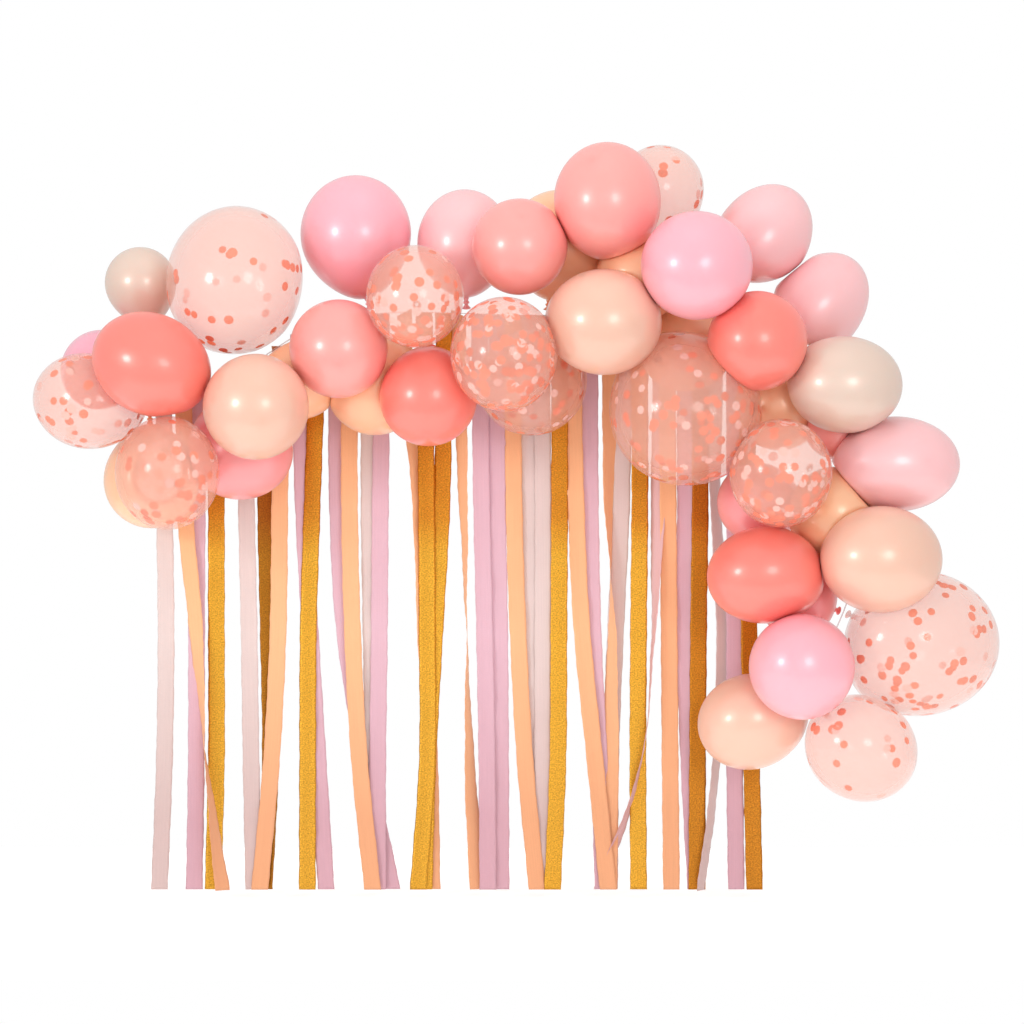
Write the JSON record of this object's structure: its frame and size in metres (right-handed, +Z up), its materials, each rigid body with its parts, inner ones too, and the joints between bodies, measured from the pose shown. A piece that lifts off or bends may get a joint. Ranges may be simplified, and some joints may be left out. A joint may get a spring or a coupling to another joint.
{
  "type": "balloon garland",
  "caption": "Arched garland of pastel and confetti balloons on a carrying tape, with long crepe streamers hanging behind it.",
  "frame": {"origin": "middle of the straight length at the top of the carrying tape, on its upper flat face, where a line or hook holds the garland up", "axes": "+Z up, +X to the viewer's right along the garland, -Y towards the viewer, so the streamers hang on the +Y side"},
  "size_m": [2.8205, 0.6929, 2.2071],
  "materials": {
    "latex_coral": "pearly latex, soft gloss",
    "latex_rose": "pearly latex, soft gloss",
    "latex_pink": "pearly latex, soft gloss",
    "latex_pale_pink": "pearly latex, soft gloss",
    "latex_peach": "pearly latex, soft gloss",
    "latex_cream": "pearly latex, soft gloss",
    "latex_lilac": "pearly latex, soft gloss",
    "latex_clear": "clear latex with a slight haze, glossy, paper confetti inside",
    "crepe_pale": "matt crepe paper, fine crimps",
    "crepe_lilac": "matt crepe paper, fine crimps",
    "crepe_peach": "matt crepe paper, fine crimps",
    "crepe_gold": "metallic gold crepe paper, fine crimps",
    "clear_tape": "clear plastic tape"
  },
  "bodies": {
    "root": {"carrying_strip": "clear_tape", "balloon_01_cream_small": "latex_cream", "balloon_02_clear_large": "latex_clear", "balloon_03_coral": "latex_coral", "balloon_04_lilac": "latex_lilac", "balloon_05_clear": "latex_clear", "balloon_06_clear": "latex_clear", "balloon_07_peach": "latex_peach", "balloon_08_cream": "latex_cream", "balloon_09_pink": "latex_pink", "balloon_10_pink": "latex_pink", "balloon_11_rose": "latex_rose", "balloon_12_clear": "latex_clear", "balloon_13_coral": "latex_coral", "balloon_14_pale_pink": "latex_pale_pink", "balloon_15_rose": "latex_rose", "balloon_16_clear": "latex_clear", "balloon_17_cream": "latex_cream", "balloon_18_rose": "latex_rose", "balloon_19_clear": "latex_clear", "balloon_20_cream": "latex_cream", "balloon_21_peach": "latex_peach", "balloon_22_pink": "latex_pink", "balloon_23_pale_pink": "latex_pale_pink", "balloon_24_pink": "latex_pink", "balloon_25_coral": "latex_coral", "balloon_26_cream": "latex_cream", "balloon_27_clear_large": "latex_clear", "balloon_28_clear": "latex_clear", "balloon_29_pink": "latex_pink", "balloon_30_coral": "latex_coral", "balloon_31_cream": "latex_cream", "balloon_32_clear_large": "latex_clear", "balloon_33_pink": "latex_pink", "balloon_34_peach": "latex_peach", "balloon_35_clear": "latex_clear", "balloon_36_pink": "latex_pink", "balloon_37_pink": "latex_pink", "balloon_38_clear": "latex_clear", "balloon_39_peach": "latex_peach", "balloon_40_peach": "latex_peach", "balloon_41_coral_small": "latex_coral", "balloon_42_peach": "latex_peach", "balloon_43_peach": "latex_peach", "balloon_44_peach": "latex_peach", "streamer_01_pale": "crepe_pale", "streamer_02_peach_twisted": "crepe_peach", "streamer_03_gold": "crepe_gold", "streamer_04_peach": "crepe_peach", "streamer_05_gold": "crepe_gold", "streamer_06_peach": "crepe_peach", "streamer_07_lilac": "crepe_lilac", "streamer_08_gold": "crepe_gold", "streamer_09_peach_twisted": "crepe_peach", "streamer_10_lilac": "crepe_lilac", "streamer_11_pale": "crepe_pale", "streamer_12_gold": "crepe_gold", "streamer_13_gold": "crepe_gold", "streamer_14_gold": "crepe_gold", "streamer_15_gold": "crepe_gold"}
  },
  "joints": []
}
